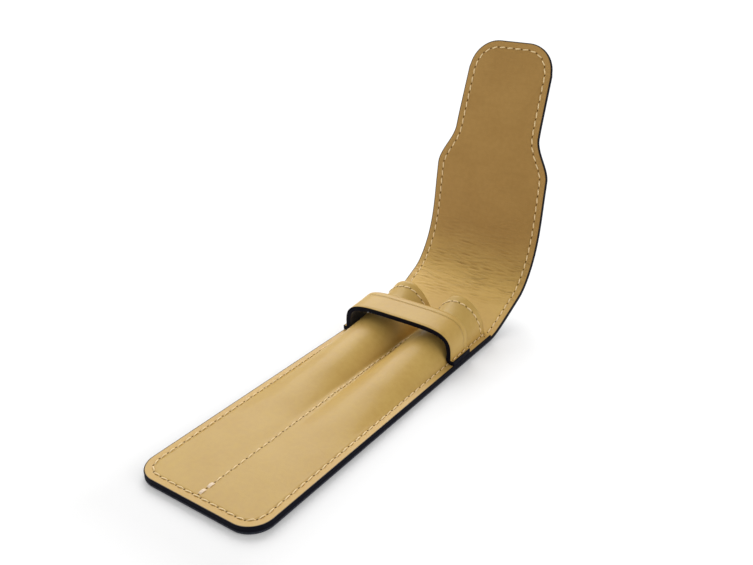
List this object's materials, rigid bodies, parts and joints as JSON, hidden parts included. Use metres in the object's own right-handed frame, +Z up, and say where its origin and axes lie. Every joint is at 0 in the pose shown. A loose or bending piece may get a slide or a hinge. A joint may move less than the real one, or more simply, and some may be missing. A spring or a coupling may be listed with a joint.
{
  "type": "two pen case",
  "caption": "Flat leather pen case with a long folding flap, a sewn front that rises into two open pen tubes, and a raised strap that holds the flap's narrow tongue",
  "frame": {"origin": "middle of the flat underside of the back, where the case lies on a table", "axes": "+X across the case, +Y along it from the sewn foot to the flap, +Z up from the back to the front"},
  "size_m": [0.06, 0.2306, 0.1227],
  "materials": {
    "back_leather": "pebbled dark navy leather, satin",
    "lining_leather": "smooth vegetable-tanned leather, matt, fine creases",
    "front_leather": "smooth natural tan leather, soft sheen",
    "strap_leather": "smooth natural tan leather, soft sheen",
    "strap_suede": "dark napped leather, matt"
  },
  "bodies": {
    "case": {"body_back": "back_leather", "body_lining": "lining_leather", "pocket_front": "front_leather", "strap_backing": "strap_suede", "strap_face": "strap_leather", "flap_root_back": "back_leather", "flap_root_lining": "lining_leather"},
    "flap_1": {"flap_panel_1_back": "back_leather", "flap_panel_1_lining": "lining_leather"},
    "flap_2": {"flap_panel_2_back": "back_leather", "flap_panel_2_lining": "lining_leather"},
    "flap_3": {"flap_panel_3_back": "back_leather", "flap_panel_3_lining": "lining_leather"},
    "flap_4": {"flap_panel_4_back": "back_leather", "flap_panel_4_lining": "lining_leather"},
    "flap_5": {"flap_panel_5_back": "back_leather", "flap_panel_5_lining": "lining_leather"},
    "flap_6": {"flap_panel_6_back": "back_leather", "flap_panel_6_lining": "lining_leather"},
    "flap_7": {"flap_panel_7_back": "back_leather", "flap_panel_7_lining": "lining_leather"}
  },
  "joints": [
    {"name": "fold_1", "type": "hinge", "parent": "case", "child": "flap_1", "pos_m": [0, 0.11079, 0.01255], "axis": [1, 0, 0], "range_deg": [-14.12, 18.07]},
    {"name": "fold_2", "type": "hinge", "parent": "flap_1", "child": "flap_2", "pos_m": [0, 0.1167, 0.01884], "axis": [1, 0, 0], "range_deg": [-23.57, 30.15]},
    {"name": "fold_3", "type": "hinge", "parent": "flap_2", "child": "flap_3", "pos_m": [0, 0.12133, 0.02613], "axis": [1, 0, 0], "range_deg": [-23.41, 29.95]},
    {"name": "fold_4", "type": "hinge", "parent": "flap_3", "child": "flap_4", "pos_m": [0, 0.12448, 0.03417], "axis": [1, 0, 0], "range_deg": [-25.52, 32.65]},
    {"name": "tuck_1", "type": "hinge", "parent": "flap_4", "child": "flap_5", "pos_m": [0, 0.12643, 0.04257], "axis": [1, 0, 0], "range_deg": [0, 18.63]},
    {"name": "tuck_2", "type": "hinge", "parent": "flap_5", "child": "flap_6", "pos_m": [0, 0.12897, 0.05914], "axis": [1, 0, 0], "range_deg": [-5.64, 0]},
    {"name": "tuck_3", "type": "hinge", "parent": "flap_6", "child": "flap_7", "pos_m": [0, 0.13295, 0.07946], "axis": [1, 0, 0], "range_deg": [-5.64, 0]}
  ],
  "couplings": [
    {"joint": "fold_2", "follows": "fold_1", "ratio": 1.6658},
    {"joint": "fold_3", "follows": "fold_1", "ratio": 1.6547},
    {"joint": "fold_4", "follows": "fold_1", "ratio": 1.8041},
    {"joint": "tuck_2", "follows": "tuck_1", "ratio": -0.3},
    {"joint": "tuck_3", "follows": "tuck_1", "ratio": -0.3}
  ]
}
